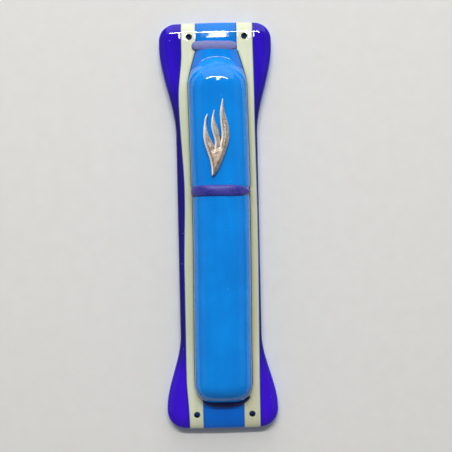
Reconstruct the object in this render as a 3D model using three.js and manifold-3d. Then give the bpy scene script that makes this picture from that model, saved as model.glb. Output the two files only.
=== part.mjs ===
// A wall-mounted mezuzah case in kiln-fused glass: a flat two-layer plate of coloured strips, a raised hollow
// hood over a slot in the plate, three melted bands, a metal flame, and a rolled parchment behind a back cover.
// Millimetres. +X is right, +Z is up, +Y points into the wall. The back of the plate lies in the plane y = 0,
// and the origin is the middle of that back.
import * as THREE from "three";
import { mergeVertices } from "three/addons/utils/BufferGeometryUtils.js";
import Module from "manifold-3d";

const wasm = await Module();
wasm.setup();

// ---- Driving dimensions ----

// Plate outline: an hourglass, 7 inches tall, symmetric about x = 0.
const HALF_HEIGHT = 88.9;
const WAIST_HALF = 17.9;
const TOP = { half: 24.7, flareStart: 38, flareEnd: 79 };
const BOTTOM = { half: 24.3, flareStart: -48, flareEnd: -79.5 };
const CORNER = 6.8;

// Plate thickness: a base layer and a front layer, each one sheet of glass, with melted round edges.
const SHEET = 3;
const PLATE = 2 * SHEET;
const EDGE_ROUND = 1.9;

// Seams between the strips, as x.
const LEFT_COBALT_SEAM = -15.0;
const LEFT_CREAM_SEAM = -8.5;
const RIGHT_CREAM_SEAM = 9;
const RIGHT_COBALT_SEAM = 16.6;

// The slot in the plate that the scroll goes in by, as z. The base layer's slot is longer, which leaves a
// ledge at each end for the cover.
const SLOT = { bottom: -70, top: 66 };
const LEDGE = 4;

// Screw holes, drilled through both layers.
const HOLE = { radius: 1.25, left: -11.5, right: 12.6, z: 82.4 };

// Hood: a shell of one sheet's thickness, made of an upper and a lower piece that meet under the middle band.
const HOOD_X = 0.9;
const HOOD_HALF = 12.8;
const HOOD_RISE = 10.5;
const HOOD_JOIN = 14.5;
const HOOD_PINCH = { width: 0.7, rise: 0.4, reach: 2.4 };
const TOP_TOE = { start: 59, end: 77.3, half: 8.9 };
const BOTTOM_END = { start: -67.8, end: -76.8, half: 5.4 };
const ARCH_POWER = 2.8;
const ARCH_STEPS = 18;

// Bands: melted strips of textured cobalt glass.
const BAND = { half: 2.2, rise: 1.2, edge: 0.25 };
const TOP_BAND = { left: -10.4, right: 9.4, z: 78.2 };
const BOTTOM_BAND = { half: 2.6, rise: 1.9 };

// Flame: a cast metal ornament with three tongues, glued to the upper hood.
const FLAME = { x: -0.4, z: 37.1, thick: 1.8 };
const GLUE_THICK = 0.3;

// Cover and its tape, and the scroll in its sleeve, which stands just clear of the cavity's lower end.
const COVER = { thick: 2.6, play: 0.2, corner: 1, notch: 3 };
const SCROLL = { length: 100, radius: 4.9, sheet: 0.35, pitch: 0.6, turns: 5, x: 0.5 };
const SLEEVE = { length: 103, inner: 4.98, wall: 0.14, bottom: -67.5 };

// ---- Colours of the glass and the rest ----

const FINISH = {
  cobalt: { color: 0x1f12a8, roughness: 0.08, metalness: 0 },
  cream: { color: 0xe4e6c0, roughness: 0.1, metalness: 0 },
  blue: { color: 0x0078d2, roughness: 0.07, metalness: 0 },
  band: { color: 0x3b3c92, roughness: 0.35, metalness: 0.2 },
  pewter: { color: 0xb9ab98, roughness: 0.38, metalness: 1 },
  glue: { color: 0xd8d8d0, roughness: 0.4, metalness: 0 },
  acrylic: { color: 0xe9e9e4, roughness: 0.35, metalness: 0 },
  tape: { color: 0xd9d2b4, roughness: 0.8, metalness: 0 },
  parchment: { color: 0xdcc9a0, roughness: 0.75, metalness: 0 },
  film: { color: 0xe8eef0, roughness: 0.15, metalness: 0 },
};
const material = Object.fromEntries(
  Object.entries(FINISH).map(([name, look]) => [name, new THREE.MeshStandardMaterial(look)]),
);

// ---- Helpers ----

// A closed three.js geometry as a manifold-3d solid.
function solidOf(geometry) {
  const bare = geometry.index ? geometry.toNonIndexed() : geometry.clone();
  bare.deleteAttribute("normal");
  bare.deleteAttribute("uv");
  const merged = mergeVertices(bare, 1e-4);
  const mesh = new wasm.Mesh({
    numProp: 3,
    vertProperties: merged.attributes.position.array,
    triVerts: new Uint32Array(merged.index.array),
  });
  return new wasm.Manifold(mesh);
}

// A manifold-3d solid as a three.js geometry.
function geometryOf(solid) {
  const mesh = solid.getMesh();
  const geometry = new THREE.BufferGeometry();
  geometry.setAttribute("position", new THREE.BufferAttribute(mesh.vertProperties, 3));
  geometry.setIndex(new THREE.BufferAttribute(mesh.triVerts, 1));
  geometry.computeVertexNormals();
  return geometry;
}

// A box between two corners, as a geometry.
function boxBetween(low, high) {
  const size = high.map((value, axis) => value - low[axis]);
  const middle = high.map((value, axis) => (value + low[axis]) / 2);
  return new THREE.BoxGeometry(...size).translate(...middle);
}

// An outline drawn in X and Z, given thickness towards the front (-Y) from the plane y = back.
function slab(shape, thick, { back = 0, round = 0, curveSegments = 8 } = {}) {
  const geometry = new THREE.ExtrudeGeometry(shape, {
    depth: thick - 2 * round,
    curveSegments,
    bevelEnabled: round > 0,
    bevelThickness: round,
    bevelSize: round,
    bevelOffset: -round,
    bevelSegments: 3,
  });
  return geometry.translate(0, 0, round - back).rotateX(Math.PI / 2);
}

// A closed solid between two grids of points: outside[i][j] and inside[i][j] face each other.
function shellBetween(outside, inside) {
  const rows = outside.length;
  const columns = outside[0].length;
  const corners = [];
  const quad = (a, b, c, d) => corners.push(a, b, c, a, c, d);
  for (let i = 0; i + 1 < rows; i++) {
    for (let j = 0; j + 1 < columns; j++) {
      quad(outside[i][j], outside[i][j + 1], outside[i + 1][j + 1], outside[i + 1][j]);
      quad(inside[i][j], inside[i + 1][j], inside[i + 1][j + 1], inside[i][j + 1]);
    }
    quad(outside[i][0], outside[i + 1][0], inside[i + 1][0], inside[i][0]);
    const last = columns - 1;
    quad(outside[i + 1][last], outside[i][last], inside[i][last], inside[i + 1][last]);
  }
  for (let j = 0; j + 1 < columns; j++) {
    quad(outside[0][j + 1], outside[0][j], inside[0][j], inside[0][j + 1]);
    const last = rows - 1;
    quad(outside[last][j], outside[last][j + 1], inside[last][j + 1], inside[last][j]);
  }
  const geometry = new THREE.BufferGeometry().setFromPoints(corners);
  geometry.computeVertexNormals();
  return geometry;
}

const root = new THREE.Group();

function add(name, geometry, look) {
  const mesh = new THREE.Mesh(geometry, material[look]);
  mesh.name = name;
  root.add(mesh);
}

// ---- The plate: both layers are cut from one rounded hourglass ----

function hourglass() {
  const outline = new THREE.Shape();
  outline.moveTo(0, -HALF_HEIGHT);
  outline.lineTo(BOTTOM.half - CORNER, -HALF_HEIGHT);
  outline.quadraticCurveTo(BOTTOM.half, -HALF_HEIGHT, BOTTOM.half, -HALF_HEIGHT + CORNER);
  outline.lineTo(BOTTOM.half, BOTTOM.flareEnd);
  outline.bezierCurveTo(23, -66, WAIST_HALF, -58, WAIST_HALF, BOTTOM.flareStart);
  outline.lineTo(WAIST_HALF, TOP.flareStart);
  outline.bezierCurveTo(WAIST_HALF, 52, 23.2, 64, TOP.half, TOP.flareEnd);
  outline.lineTo(TOP.half, HALF_HEIGHT - CORNER);
  outline.quadraticCurveTo(TOP.half, HALF_HEIGHT, TOP.half - CORNER, HALF_HEIGHT);
  outline.lineTo(0, HALF_HEIGHT);
  const right = outline.getPoints(10);
  const left = right.slice(1, -1).reverse().map((p) => new THREE.Vector2(-p.x, p.y));
  return new THREE.Shape([...right, ...left]);
}

const plate = solidOf(slab(hourglass(), PLATE, { round: EDGE_ROUND }));

function drilled(solid) {
  let result = solid;
  for (const x of [HOLE.left, HOLE.right]) {
    for (const z of [HOLE.z, -HOLE.z]) {
      const drill = new THREE.CylinderGeometry(HOLE.radius, HOLE.radius, 3 * PLATE, 24);
      result = result.subtract(solidOf(drill.translate(x, 0, z)));
    }
  }
  return result;
}

// The part of the plate between two seams, in one layer, optionally between two heights.
function strip(name, look, layer, [x0, x1], [z0, z1] = [-100, 100]) {
  const [back, front] = layer === "base" ? [1, -SHEET] : [-SHEET, -PLATE - 1];
  const region = solidOf(boxBetween([x0, front, z0], [x1, back, z1]));
  add(name, geometryOf(drilled(plate.intersect(region))), look);
}

const SLOT_WIDTH = [LEFT_CREAM_SEAM, RIGHT_CREAM_SEAM];
strip("base_left_sheet", "blue", "base", [-40, LEFT_CREAM_SEAM]);
strip("base_right_sheet", "blue", "base", [RIGHT_CREAM_SEAM, 40]);
strip("base_top_sheet", "blue", "base", SLOT_WIDTH, [SLOT.top + LEDGE, 100]);
strip("base_bottom_sheet", "blue", "base", SLOT_WIDTH, [-100, SLOT.bottom - LEDGE]);
strip("left_cobalt_strip", "cobalt", "front", [-40, LEFT_COBALT_SEAM]);
strip("left_cream_strip", "cream", "front", [LEFT_COBALT_SEAM, LEFT_CREAM_SEAM]);
strip("right_cream_strip", "cream", "front", [RIGHT_CREAM_SEAM, RIGHT_COBALT_SEAM]);
strip("right_cobalt_strip", "cobalt", "front", [RIGHT_COBALT_SEAM, 40]);
strip("top_blue_strip", "blue", "front", SLOT_WIDTH, [SLOT.top, 100]);
strip("bottom_blue_strip", "blue", "front", SLOT_WIDTH, [-100, SLOT.bottom]);

// ---- The hood: arches along Z, each with a half width and a rise above the plate's front ----

// One arch's points from its left foot to its right foot: a superellipse.
function arch({ z, half, rise }) {
  return Array.from({ length: ARCH_STEPS + 1 }, (_, i) => {
    const angle = Math.PI * (1 - i / ARCH_STEPS);
    const across = Math.sign(Math.cos(angle)) * Math.abs(Math.cos(angle)) ** (2 / ARCH_POWER);
    const up = i === 0 || i === ARCH_STEPS ? 0 : Math.sin(angle) ** (2 / ARCH_POWER);
    return new THREE.Vector3(HOOD_X + half * across, -PLATE - rise * up, z);
  });
}

// How much the melted join draws the hood in, at a height z: 1 at the join, 0 past its reach.
function pinch(z) {
  const away = Math.min(1, Math.abs(z - HOOD_JOIN) / HOOD_PINCH.reach);
  return (1 - away * away) ** 2;
}

function hoodBody(z) {
  return {
    z,
    half: HOOD_HALF - HOOD_PINCH.width * pinch(z),
    rise: HOOD_RISE - HOOD_PINCH.rise * pinch(z),
  };
}

// The upper end: it sinks in an S and narrows as it does. share runs from 0 to 1.
function topToe(share) {
  const { start, end, half } = TOP_TOE;
  return {
    z: start + (end - start) * share,
    half: HOOD_HALF - (HOOD_HALF - half) * Math.max(0, (share - 0.17) / 0.83) ** 1.2,
    rise: HOOD_RISE * Math.cos((Math.PI / 2) * share ** 1.3) ** 2,
  };
}

// The lower end: a blunt round end, steep at its foot.
function bottomEnd(share) {
  const { start, end, half } = BOTTOM_END;
  const turn = (Math.PI / 2) * share;
  return {
    z: start + (end - start) * Math.sin(turn),
    half: half + (HOOD_HALF - half) * Math.cos(turn),
    rise: HOOD_RISE * Math.cos(turn) ** 0.9,
  };
}

// The same arch one sheet further in. along moves it towards the middle of the hood.
function inward({ z, half, rise }, along) {
  return { z: z + along, half: half - SHEET, rise: Math.max(0, rise - SHEET) };
}

const JOIN_STEPS = [0, 0.8, 1.6, 2.4];
const END_SHARES = Array.from({ length: 9 }, (_, i) => i / 8);

function upperHood() {
  const body = [...JOIN_STEPS.map((step) => hoodBody(HOOD_JOIN + step)), hoodBody(38)];
  const toe = END_SHARES.map(topToe);
  const outside = [...body, ...toe].map(arch);
  const shorter = (TOP_TOE.end - TOP_TOE.start - SHEET) / (TOP_TOE.end - TOP_TOE.start);
  const hollowToe = toe.map(({ z, half, rise }) => ({
    z: TOP_TOE.start + (z - TOP_TOE.start) * shorter,
    half: half - SHEET,
    rise: (rise * (HOOD_RISE - SHEET)) / HOOD_RISE,
  }));
  const inside = [...body.map((a) => inward(a, 0)), ...hollowToe].map(arch);
  return shellBetween(outside, inside);
}

function lowerHood() {
  const body = [...JOIN_STEPS.map((step) => hoodBody(HOOD_JOIN - step)), hoodBody(-30)];
  const end = END_SHARES.map(bottomEnd);
  const outside = [...body, ...end].map(arch);
  const hollowEnd = end.map(({ z, half, rise }) => ({
    z: z + (SHEET * (BOTTOM_END.start - z)) / (BOTTOM_END.start - BOTTOM_END.end),
    half: half - SHEET,
    rise: (rise * (HOOD_RISE - SHEET)) / HOOD_RISE,
  }));
  const inside = [...body.map((a) => inward(a, 0)), ...hollowEnd].map(arch);
  return shellBetween(inside, outside);
}

const upperGlass = upperHood();
const lowerGlass = lowerHood();
add("upper_hood", upperGlass, "blue");
add("lower_hood", lowerGlass, "blue");

// ---- The bands ----

// A band as it lies on the hood: whatever of it would be inside the hood's glass is cut away.
function laidOnHood(geometry) {
  const band = solidOf(geometry);
  return geometryOf(band.subtract(solidOf(upperGlass)).subtract(solidOf(lowerGlass)));
}

// The middle band is an arch over the hood's join, thickest along its middle.
function middleBand() {
  const shares = [-1, -0.8, -0.45, 0, 0.45, 0.8, 1];
  const arches = shares.map((share) => hoodBody(HOOD_JOIN + BAND.half * share));
  const over = arches.map(({ z, half, rise }, i) => {
    const swell = BAND.edge + (BAND.rise - BAND.edge) * Math.sqrt(1 - shares[i] ** 2);
    return { z, half: half + swell, rise: rise + swell };
  });
  const under = arches.map(({ z, half, rise }) => ({ z, half: half - BAND.edge, rise: rise - BAND.edge }));
  return laidOnHood(shellBetween(over.map(arch), under.map(arch)));
}

// A melted ribbon that lies on the plate's front along a curve in the plane of X and Z, with round ends.
function ribbon(curve, half, rise) {
  const STEPS = 20;
  const ROUND = 8;
  const top = [];
  const foot = [];
  for (let i = 0; i <= STEPS; i++) {
    const turn = (Math.PI * i) / STEPS;
    const share = (1 - Math.cos(turn)) / 2;
    const fullness = Math.max(0.15, Math.sin(turn) ** 0.5);
    const at = curve.getPointAt(share);
    const along = curve.getTangentAt(share);
    const side = new THREE.Vector3(along.z, 0, -along.x);
    const topRow = [];
    const footRow = [];
    for (let j = 0; j <= ROUND; j++) {
      const angle = (Math.PI * j) / ROUND;
      const across = at.clone().addScaledVector(side, -half * fullness * Math.cos(angle));
      const height = BAND.edge + (rise - BAND.edge) * fullness * Math.sin(angle);
      topRow.push(across.clone().setY(-PLATE - height));
      footRow.push(across.setY(-PLATE));
    }
    top.push(topRow);
    foot.push(footRow);
  }
  return shellBetween(top, foot);
}

function topBand() {
  const from = new THREE.Vector3(TOP_BAND.left, 0, TOP_BAND.z);
  const to = new THREE.Vector3(TOP_BAND.right, 0, TOP_BAND.z);
  return laidOnHood(ribbon(new THREE.LineCurve3(from, to), BAND.half, BAND.rise));
}

// The bottom band is draped on the foot of the hood's blunt end.
function bottomBand() {
  const path = new THREE.CatmullRomCurve3([
    new THREE.Vector3(-8.9, 0, -77.5),
    new THREE.Vector3(-5.2, 0, -78.6),
    new THREE.Vector3(1, 0, -78.9),
    new THREE.Vector3(7.2, 0, -78.4),
    new THREE.Vector3(12.6, 0, -75.6),
  ]);
  return laidOnHood(ribbon(path, BOTTOM_BAND.half, BOTTOM_BAND.rise));
}

add("top_band", topBand(), "band");
add("middle_band", middleBand(), "band");
add("bottom_band", bottomBand(), "band");

// ---- The flame and its glue ----

// Three curved tongues that rise from one point, drawn about the ornament's own middle.
function flameShape() {
  const flame = new THREE.Shape();
  const edge = (...points) => flame.splineThru(points.map(([x, z]) => new THREE.Vector2(x, z)));
  flame.moveTo(-2.1, -16);
  edge([-2.6, -10.1], [-4.8, -2.7], [-5.3, 2], [-4.6, 7.6], [-3.5, 9.9]);
  edge([-4.2, 5.6], [-3.3, 0.8], [-1.4, -3.2], [-1, -5.3]);
  edge([-0.5, -1.8], [-1.8, 3.6], [-1.75, 7.6], [-0.6, 11.7]);
  edge([-0.7, 7.6], [0.7, 3.1], [1.3, -1], [1.15, -4.5]);
  edge([2.4, 0.6], [1.95, 6.8], [1.9, 11.2], [3, 16.3]);
  edge([3.4, 11.4], [5, 4.8], [5.1, -0.6], [3.2, -7], [0.4, -13.2], [-1.6, -16.2]);
  flame.closePath();
  return flame;
}

const hoodTop = -PLATE - HOOD_RISE;

function flame() {
  const body = slab(flameShape(), FLAME.thick, { back: hoodTop - GLUE_THICK, curveSegments: 4 });
  return body.translate(FLAME.x, 0, FLAME.z);
}

// The glue fills the space between the hood's curved top and the flame's solid lower part.
function glueBed() {
  const bed = new THREE.Shape().absellipse(0, -8.6, 2.6, 4.4, 0, 2 * Math.PI);
  const depth = 1.2;
  const body = slab(bed, GLUE_THICK + depth, { back: hoodTop + depth, curveSegments: 12 });
  return laidOnHood(body.translate(FLAME.x, 0, FLAME.z));
}

add("flame_ornament", flame(), "pewter");
add("flame_glue_bed", glueBed(), "glue");

// ---- The back cover, and the tape that holds it to the ledges ----

function backCover() {
  const left = LEFT_CREAM_SEAM + COVER.play;
  const right = RIGHT_CREAM_SEAM - COVER.play;
  const bottom = SLOT.bottom - LEDGE + COVER.play;
  const top = SLOT.top + LEDGE - COVER.play;
  const r = COVER.corner;
  const outline = new THREE.Shape();
  outline.moveTo(left + r, bottom);
  outline.lineTo(right - r, bottom);
  outline.absarc(right - r, bottom + r, r, -Math.PI / 2, 0);
  outline.lineTo(right, top - r);
  outline.absarc(right - r, top - r, r, 0, Math.PI / 2);
  outline.lineTo(left + r, top);
  outline.absarc(left + r, top - r, r, Math.PI / 2, Math.PI);
  // A fingernail notch halfway down the left edge, for prying the cover off.
  outline.absarc(left, 0, COVER.notch, Math.PI / 2, -Math.PI / 2, true);
  outline.absarc(left + r, bottom + r, r, Math.PI, 1.5 * Math.PI);
  return slab(outline, COVER.thick, { curveSegments: 8 });
}

function tape(low, high) {
  const left = LEFT_CREAM_SEAM + 2;
  const right = RIGHT_CREAM_SEAM - 2;
  return boxBetween([left, -SHEET, low + 0.5], [right, -COVER.thick, high - 0.5]);
}

add("back_cover", backCover(), "acrylic");
add("cover_tape_top", tape(SLOT.top, SLOT.top + LEDGE), "tape");
add("cover_tape_bottom", tape(SLOT.bottom - LEDGE, SLOT.bottom), "tape");

// ---- The scroll: a rolled parchment in a clear film sleeve, resting against the cover ----

const sleeveOuter = SLEEVE.inner + SLEEVE.wall;
const scrollY = -(COVER.thick + 0.15 + sleeveOuter);
const scrollBottom = SLEEVE.bottom + (SLEEVE.length - SCROLL.length) / 2;

// One turn after another of a flat spiral, out along its outer face and back along its inner face.
function spiral() {
  const steps = SCROLL.turns * 20;
  const at = (i, inset) => {
    const angle = (2 * Math.PI * SCROLL.turns * i) / steps;
    const radius = SCROLL.radius - (SCROLL.pitch * SCROLL.turns * i) / steps - inset;
    return new THREE.Vector2(radius * Math.cos(angle), radius * Math.sin(angle));
  };
  const outer = Array.from({ length: steps + 1 }, (_, i) => at(i, 0));
  const inner = Array.from({ length: steps + 1 }, (_, i) => at(i, SCROLL.sheet));
  return new THREE.Shape([...outer, ...inner.reverse()]);
}

function parchment() {
  const roll = new THREE.ExtrudeGeometry(spiral(), { depth: SCROLL.length, bevelEnabled: false });
  return roll.translate(SCROLL.x, scrollY, scrollBottom);
}

function sleeve() {
  const ring = new THREE.Shape().absarc(0, 0, sleeveOuter, 0, 2 * Math.PI);
  ring.holes.push(new THREE.Path().absarc(0, 0, SLEEVE.inner, 0, 2 * Math.PI));
  const tube = new THREE.ExtrudeGeometry(ring, { depth: SLEEVE.length, bevelEnabled: false, curveSegments: 16 });
  return tube.translate(SCROLL.x, scrollY, SLEEVE.bottom);
}

add("parchment_scroll", parchment(), "parchment");
add("scroll_sleeve", sleeve(), "film");

export default root;
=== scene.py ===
"""The looks of a wall-mounted mezuzah case in kiln-fused glass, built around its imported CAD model.

Shapes are worked out in millimetres and put into the meshes in metres. +X is right, +Z is up, and the front
of the case looks along -Y. Its flat back lies in the plane y = 0.
"""
import math

import bpy
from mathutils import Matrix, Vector, kdtree, noise
from mathutils.geometry import intersect_point_line


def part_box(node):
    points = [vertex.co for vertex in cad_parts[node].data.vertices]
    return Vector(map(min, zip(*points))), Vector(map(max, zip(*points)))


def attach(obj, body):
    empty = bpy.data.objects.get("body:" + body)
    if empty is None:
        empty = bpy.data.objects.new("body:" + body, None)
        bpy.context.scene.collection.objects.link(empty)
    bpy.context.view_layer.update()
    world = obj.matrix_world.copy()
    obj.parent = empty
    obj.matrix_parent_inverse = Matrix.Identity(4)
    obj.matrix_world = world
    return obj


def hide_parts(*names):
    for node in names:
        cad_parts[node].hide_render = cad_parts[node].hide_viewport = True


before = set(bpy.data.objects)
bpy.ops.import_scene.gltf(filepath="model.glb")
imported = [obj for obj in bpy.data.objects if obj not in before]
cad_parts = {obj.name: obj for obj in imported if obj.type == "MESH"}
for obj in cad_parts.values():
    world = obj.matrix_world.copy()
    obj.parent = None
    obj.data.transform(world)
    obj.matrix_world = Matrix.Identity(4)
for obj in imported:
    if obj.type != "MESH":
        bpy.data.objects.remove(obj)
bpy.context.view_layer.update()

MM = 0.001


# ---- The frame's sizes, in millimetres ----

def box_mm(node):
    """A CAD node's lowest and highest corners, in millimetres."""
    low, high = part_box(node)
    return Vector(low) / MM, Vector(high) / MM


strip_low, strip_high = box_mm("left_cobalt_strip")
FRONT = strip_low.y
MIDDLE = strip_high.y
HALF_HEIGHT = strip_high.z

upper_low, upper_high = box_mm("upper_hood")
lower_low, lower_high = box_mm("lower_hood")
JOIN = upper_low.z
HOOD_HALF = (lower_high.x - lower_low.x) / 2
HOOD_RISE = FRONT - lower_low.y
SHEET = -MIDDLE

slot_bottom = box_mm("bottom_blue_strip")[1].z
slot_top = box_mm("top_blue_strip")[0].z
base_bottom = box_mm("base_bottom_sheet")[1].z
base_top = box_mm("base_top_sheet")[0].z


# ---- Small helpers for meshes ----

def smoothstep(t):
    t = min(1.0, max(0.0, t))
    return t * t * (3 - 2 * t)


def mix(a, b, t):
    return a + (b - a) * t


def lump(x, y, z, size, seed=0.0):
    """Smooth noise between -1 and 1 whose lumps are about size millimetres across."""
    return noise.noise(Vector((x, y, z + 300 * seed)) / size)


def added(name):
    """The primitive that was just added, named."""
    piece = bpy.context.object
    piece.name = name
    piece.data.name = name
    return piece


def select_only(piece):
    bpy.ops.object.select_all(action="DESELECT")
    bpy.context.view_layer.objects.active = piece
    piece.select_set(True)


def edit(piece, *steps):
    """Runs each step in edit mode on the whole of a piece."""
    select_only(piece)
    bpy.ops.object.mode_set(mode="EDIT")
    bpy.ops.mesh.select_mode(type="VERT")
    for step in steps:
        bpy.ops.mesh.select_all(action="SELECT")
        step()
    bpy.ops.object.mode_set(mode="OBJECT")


def merge_doubles():
    bpy.ops.mesh.remove_doubles(threshold=1e-6)


def close_ends():
    bpy.ops.mesh.fill_holes(sides=0)


def face_outwards():
    bpy.ops.mesh.normals_make_consistent(inside=False)


def smooth_shaded(piece, degrees=40):
    """Shades a piece smooth, apart from edges sharper than an angle."""
    select_only(piece)
    bpy.ops.object.shade_smooth_by_angle(angle=math.radians(degrees))


def apply_modifier(piece, kind, **settings):
    """Adds one modifier and applies it."""
    select_only(piece)
    modifier = piece.modifiers.new(kind.lower(), kind)
    for key, value in settings.items():
        setattr(modifier, key, value)
    bpy.ops.object.modifier_apply(modifier=modifier.name)


def skin(name, columns, rows, place):
    """A grid of quads whose corner (i, j) lies where place(i, j) says, in millimetres."""
    bpy.ops.object.select_all(action="DESELECT")
    bpy.ops.mesh.primitive_grid_add(x_subdivisions=columns, y_subdivisions=rows, size=1)
    piece = added(name)
    for vertex in piece.data.vertices:
        i = round((vertex.co.x + 0.5) * columns)
        j = round((vertex.co.y + 0.5) * rows)
        vertex.co = Vector(place(i, j)) * MM
    return piece


def tube(name, around, rows, place):
    """A closed skin: place(i, j) goes once round for i from 0 to around, and both ends are filled."""
    piece = skin(name, around, rows, lambda i, j: place(i % around, j))
    edit(piece, merge_doubles, close_ends, face_outwards)
    return piece


def slab(name, outline, front, back):
    """A flat piece with an outline of (x, z) points, between two heights in Y."""
    bpy.ops.object.select_all(action="DESELECT")
    bpy.ops.mesh.primitive_circle_add(vertices=len(outline), radius=1, fill_type="NGON")
    piece = added(name)
    for vertex, (x, z) in zip(piece.data.vertices, outline):
        vertex.co = Vector((x, front, z)) * MM

    def thicken():
        bpy.ops.mesh.extrude_region_move(TRANSFORM_OT_translate={"value": (0, (back - front) * MM, 0)})

    edit(piece, thicken, face_outwards)
    return piece


def mark(piece, name, value):
    """Stores value(x, y, z), worked out in millimetres, on every vertex for the materials to read."""
    layer = piece.data.attributes.new(name, "FLOAT", "POINT")
    for vertex in piece.data.vertices:
        layer.data[vertex.index].value = value(*(vertex.co / MM))


# ---- The plate's outline ----

WAIST = {-1: 18.1, 1: 17.5}
TOP_WIDTH = {-1: 24.8, 1: 24.4}
BOTTOM_WIDTH = {-1: 24.5, 1: 24.0}
TOP_FLARE = (40.0, 79.0)
BOTTOM_FLARE = (-48.0, -80.0)
TOP_CORNER = 7.3
BOTTOM_CORNER = 7.8
SIDE_POINTS = 700
END_POINTS = 120


def half_width(z, side):
    """How far the plate reaches from x = 0, on the left (-1) or on the right (1)."""
    top = smoothstep((z - TOP_FLARE[0]) / (TOP_FLARE[1] - TOP_FLARE[0]))
    bottom = smoothstep((z - BOTTOM_FLARE[0]) / (BOTTOM_FLARE[1] - BOTTOM_FLARE[0]))
    half = WAIST[side]
    half += (TOP_WIDTH[side] - WAIST[side]) * top
    half += (BOTTOM_WIDTH[side] - WAIST[side]) * bottom
    corner = TOP_CORNER if z > 0 else BOTTOM_CORNER
    into = abs(z) - (HALF_HEIGHT - corner)
    if into > 0:
        half -= corner - math.sqrt(max(0.0, corner * corner - into * into))
    return half


def left_edge(z):
    return -half_width(z, -1)


def right_edge(z):
    return half_width(z, 1)


def outline_points():
    """The plate's outline as (x, z) points close together, once round."""
    heights = [HALF_HEIGHT * math.sin(math.pi * (k / SIDE_POINTS - 0.5)) for k in range(SIDE_POINTS + 1)]
    shares = [k / END_POINTS for k in range(1, END_POINTS)]
    points = [(right_edge(z), z) for z in heights]
    points += [(mix(right_edge(HALF_HEIGHT), left_edge(HALF_HEIGHT), t), HALF_HEIGHT) for t in shares]
    points += [(left_edge(z), z) for z in reversed(heights)]
    points += [(mix(left_edge(-HALF_HEIGHT), right_edge(-HALF_HEIGHT), t), -HALF_HEIGHT) for t in shares]
    return points


class Edge:
    """Tells how far a point lies from a closed outline."""

    def __init__(self, points):
        self.points = [Vector((x, z, 0)) for x, z in points]
        self.tree = kdtree.KDTree(len(points))
        for index, point in enumerate(self.points):
            self.tree.insert(point, index)
        self.tree.balance()

    def distance(self, x, z):
        here = Vector((x, z, 0))
        nearest, index, best = self.tree.find(here)
        for step in (-1, 1):
            other = self.points[(index + step) % len(self.points)]
            foot, share = intersect_point_line(here, nearest, other)
            if 0 <= share <= 1:
                best = min(best, (foot - here).length)
        return best

    def depth(self, x, z):
        """The distance inside the outline, below zero outside it."""
        crossings = 0
        for a, b in zip(self.points, self.points[1:] + self.points[:1]):
            if (a.y > z) != (b.y > z) and x < a.x + (z - a.y) / (b.y - a.y) * (b.x - a.x):
                crossings += 1
        return self.distance(x, z) * (1 if crossings % 2 else -1)

    def facing(self, x, z, direction):
        """How nearly the way to the nearest outline point agrees with a direction, from -1 to 1."""
        here = Vector((x, z, 0))
        return (self.tree.find(here)[0] - here).normalized().dot(direction)


plate_edge = Edge(outline_points())

# The top and bottom edges are bowed a little, as glass is when its corners melt back.
BOW = 0.35
BOW_REACH = 20


def bowed(x, z):
    return z - math.copysign(BOW, z) * (x / BOW_REACH) ** 2 * (abs(z) / HALF_HEIGHT) ** 6


# ---- The seams between the strips: gently wandering lines ----

def wandering(*knots):
    """A line through (z, x) knots, from the bottom up, that eases from each to the next."""
    def line(z):
        for (z0, x0), (z1, x1) in zip(knots, knots[1:]):
            if z <= z1:
                return mix(x0, x1, smoothstep((z - z0) / (z1 - z0)))
        return knots[-1][1]
    return line


left_cobalt_seam = wandering((-84, -14.9), (-66, -15.8), (-20, -15.7), (14, -14.9), (56, -16.6), (76, -15.0))
left_cream_seam = wandering((-84, -8.6), (70, -8.3), (86, -8.6))
right_cream_seam = wandering((-70, 9.0), (70, 9.1))
right_cobalt_seam = wandering((-82, 16.2), (0, 16.9), (55, 16.5), (80, 16.3))

FRONT_SEAMS = [left_cobalt_seam, left_cream_seam, right_cream_seam, right_cobalt_seam]
BASE_SEAMS = [left_cream_seam, right_cream_seam]


def seam_distance(x, z, seams=FRONT_SEAMS):
    """How far a point on the plate lies from the nearest of some seams."""
    return min(abs(x - seam(z)) for seam in seams)


# ---- The plate: melted strips over a base layer ----

SIDE_MELT = 5.5
END_MELT = 8.0
END_MELT_START = 66
END_MELT_FADE = 14
BACK_MELT = 2.2
EDGE_DROP = 2.6
WAVE_DEPTH = 0.035
RIPPLE_DEPTH = 0.006
GROOVE_DEPTH = 0.035
GROOVE_REACH = 0.45

HOLE_HEIGHT = 82.4
LEFT_HOLES = [(-11.5, HOLE_HEIGHT), (-11.5, -HOLE_HEIGHT)]
RIGHT_HOLES = [(12.6, HOLE_HEIGHT), (12.6, -HOLE_HEIGHT)]
HOLE_RADIUS = 1.2
HOLE_RIM = 0.25
HOLE_SIDES = 36
DIMPLE_DEPTH = 0.12
DIMPLE_REACH = 1.9


def hole_distance(x, z):
    """How far a point on the plate lies from the middle of the nearest screw hole."""
    return min(math.hypot(x - hole_x, z - hole_z) for hole_x, hole_z in LEFT_HOLES + RIGHT_HOLES)


def rounding(distance, reach, depth):
    """How far a melted edge has sunk at a distance from the outline."""
    share = 1 - min(1.0, max(0.0, distance) / reach)
    return depth * (1 - math.sqrt(max(0.0, 1 - share * share)))


def front_face(x, z):
    """The plate's front, as y: flat in the middle, rounded to its edges, with the marks of the kiln."""
    reach = mix(SIDE_MELT, END_MELT, smoothstep((abs(z) - END_MELT_START) / END_MELT_FADE))
    y = FRONT + rounding(plate_edge.distance(x, z), reach, EDGE_DROP)
    y += WAVE_DEPTH * lump(x, 0, z, 12) + RIPPLE_DEPTH * lump(x, 0, z, 4, seed=1)
    y += GROOVE_DEPTH * math.exp(-((seam_distance(x, z) / GROOVE_REACH) ** 2))
    y += DIMPLE_DEPTH * math.exp(-((hole_distance(x, z) / DIMPLE_REACH) ** 2))
    return y


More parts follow.
